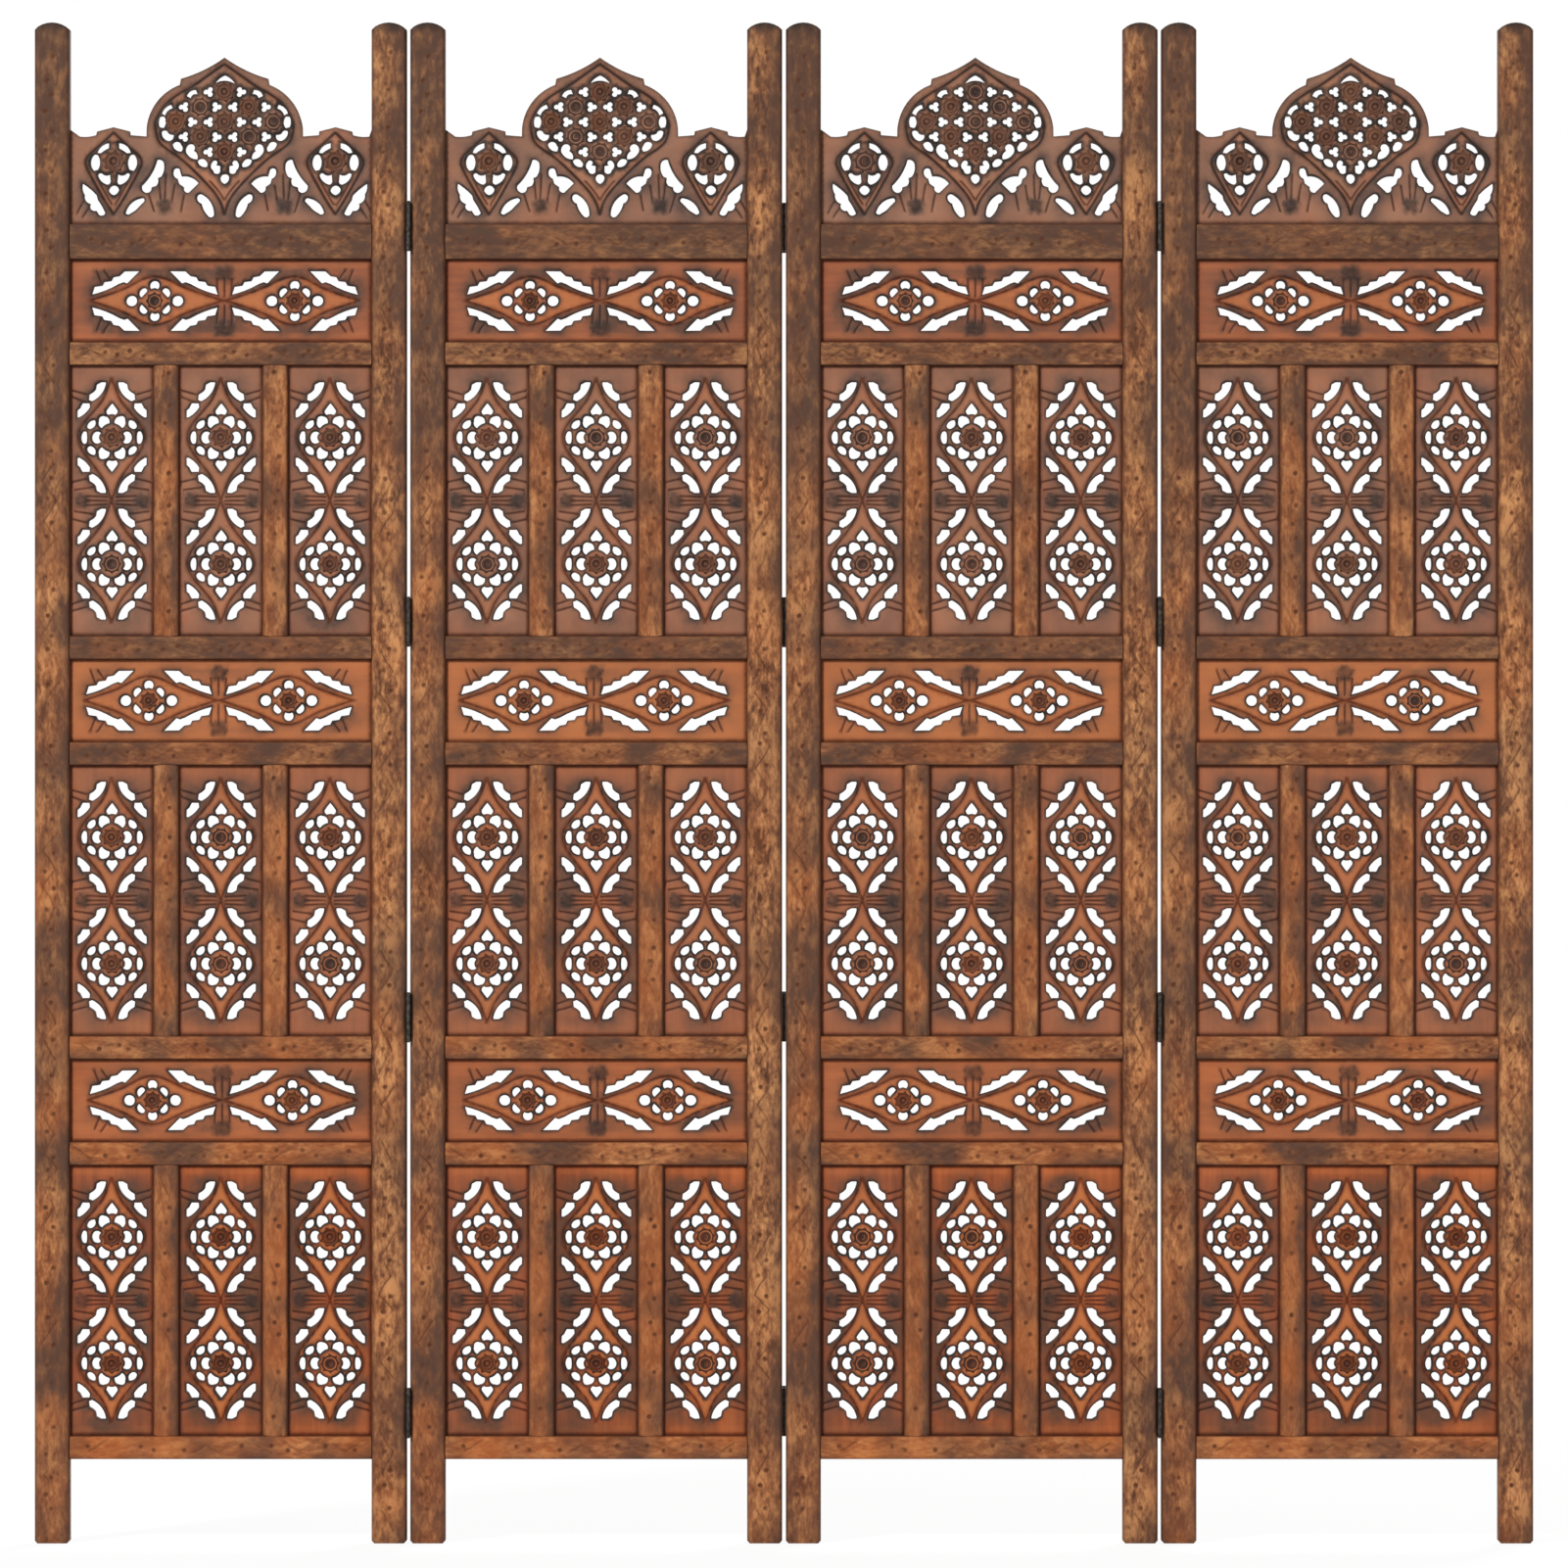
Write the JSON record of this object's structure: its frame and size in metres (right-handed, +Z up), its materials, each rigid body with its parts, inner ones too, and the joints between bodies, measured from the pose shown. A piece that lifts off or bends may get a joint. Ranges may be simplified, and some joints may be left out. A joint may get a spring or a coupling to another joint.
{
  "type": "folding room divider",
  "caption": "Free-standing folding screen of hinged carved wood panels: pierced ogee fret boards and friezes in grooved frames, each under an onion-domed crest.",
  "frame": {"origin": "on the floor, midway along and midway through the screen when it stands flat", "axes": "+Z up, +X to the right along the flat screen, -Y out of the carved front"},
  "size_m": [1.626, 0.0356, 1.65],
  "materials": {
    "frame_wood": "satin, dark worn edges",
    "board_wood": "satin, scorched carving",
    "peg_wood": "satin",
    "hinge_iron": "black iron",
    "screw_steel": "blackened steel"
  },
  "bodies": {
    "panel_1": {"panel_1_left_post": "frame_wood", "panel_1_right_post": "frame_wood", "panel_1_crest": "board_wood", "panel_1_crest_rail": "frame_wood", "panel_1_cross_rails": "frame_wood", "panel_1_friezes": "board_wood", "panel_1_upper_frets": "board_wood", "panel_1_middle_frets": "board_wood", "panel_1_lower_frets": "board_wood", "panel_1_muntins": "frame_wood", "panel_1_tenon_pegs": "peg_wood", "hinge_1_left_leaves": "hinge_iron", "hinge_1_left_screws": "screw_steel", "hinge_1_pins": "hinge_iron"},
    "panel_2": {"panel_2_left_post": "frame_wood", "panel_2_right_post": "frame_wood", "panel_2_crest": "board_wood", "panel_2_crest_rail": "frame_wood", "panel_2_cross_rails": "frame_wood", "panel_2_friezes": "board_wood", "panel_2_upper_frets": "board_wood", "panel_2_middle_frets": "board_wood", "panel_2_lower_frets": "board_wood", "panel_2_muntins": "frame_wood", "panel_2_tenon_pegs": "peg_wood", "hinge_1_right_leaves": "hinge_iron", "hinge_1_right_screws": "screw_steel", "hinge_2_left_leaves": "hinge_iron", "hinge_2_left_screws": "screw_steel", "hinge_2_pins": "hinge_iron"},
    "panel_3": {"panel_3_left_post": "frame_wood", "panel_3_right_post": "frame_wood", "panel_3_crest": "board_wood", "panel_3_crest_rail": "frame_wood", "panel_3_cross_rails": "frame_wood", "panel_3_friezes": "board_wood", "panel_3_upper_frets": "board_wood", "panel_3_middle_frets": "board_wood", "panel_3_lower_frets": "board_wood", "panel_3_muntins": "frame_wood", "panel_3_tenon_pegs": "peg_wood", "hinge_2_right_leaves": "hinge_iron", "hinge_2_right_screws": "screw_steel", "hinge_3_left_leaves": "hinge_iron", "hinge_3_left_screws": "screw_steel", "hinge_3_pins": "hinge_iron"},
    "panel_4": {"panel_4_left_post": "frame_wood", "panel_4_right_post": "frame_wood", "panel_4_crest": "board_wood", "panel_4_crest_rail": "frame_wood", "panel_4_cross_rails": "frame_wood", "panel_4_friezes": "board_wood", "panel_4_upper_frets": "board_wood", "panel_4_middle_frets": "board_wood", "panel_4_lower_frets": "board_wood", "panel_4_muntins": "frame_wood", "panel_4_tenon_pegs": "peg_wood", "hinge_3_right_leaves": "hinge_iron", "hinge_3_right_screws": "screw_steel"}
  },
  "joints": [
    {"name": "fold_1", "type": "hinge", "parent": "panel_1", "child": "panel_2", "pos_m": [-0.4075, -0.0153, 0.7855], "axis": [0, 0, -1], "range_deg": [0, 180]},
    {"name": "fold_2", "type": "hinge", "parent": "panel_2", "child": "panel_3", "pos_m": [0, 0.0153, 0.7855], "axis": [0, 0, 1], "range_deg": [0, 180]},
    {"name": "fold_3", "type": "hinge", "parent": "panel_3", "child": "panel_4", "pos_m": [0.4075, -0.0153, 0.7855], "axis": [0, 0, -1], "range_deg": [0, 180]}
  ]
}
